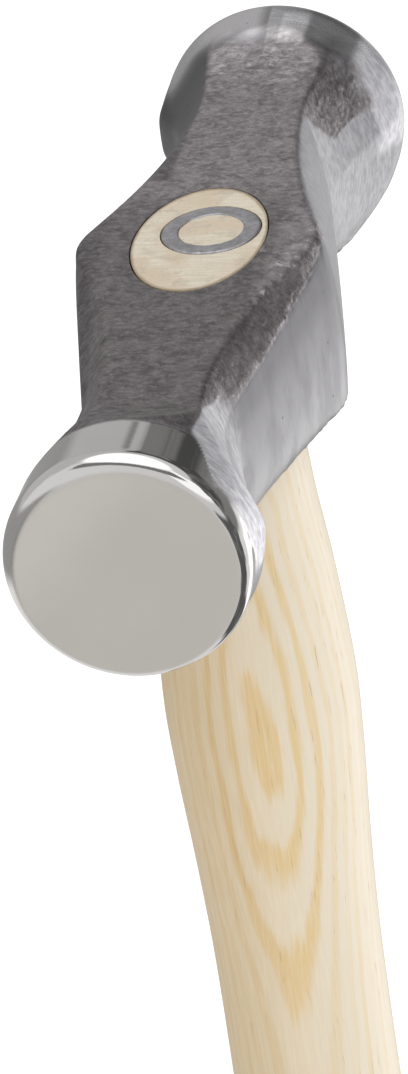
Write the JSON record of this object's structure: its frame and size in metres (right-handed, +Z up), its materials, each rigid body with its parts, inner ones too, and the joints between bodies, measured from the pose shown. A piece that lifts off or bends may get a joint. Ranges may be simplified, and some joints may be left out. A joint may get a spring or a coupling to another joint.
{
  "type": "double faced hammer",
  "caption": "Hand hammer with a forged head, round faces at both ends, pointed cheeks, and an ash handle wedged in an oval eye.",
  "frame": {"origin": "middle of the flat butt end of the handle", "axes": "+Z up the handle to the head; the head lies along Y and its flat striking face looks along -Y; +X is across the cheeks"},
  "size_m": [0.0372, 0.1412, 0.3237],
  "materials": {
    "forged_steel": "forged and blasted, cheeks ground, faces polished",
    "ash_wood": "sanded ash, clear lacquer",
    "wedge_steel": "plain steel, hammered flush"
  },
  "bodies": {
    "root": {"head": "forged_steel", "handle": "ash_wood", "ring_wedge": "wedge_steel"}
  },
  "joints": []
}
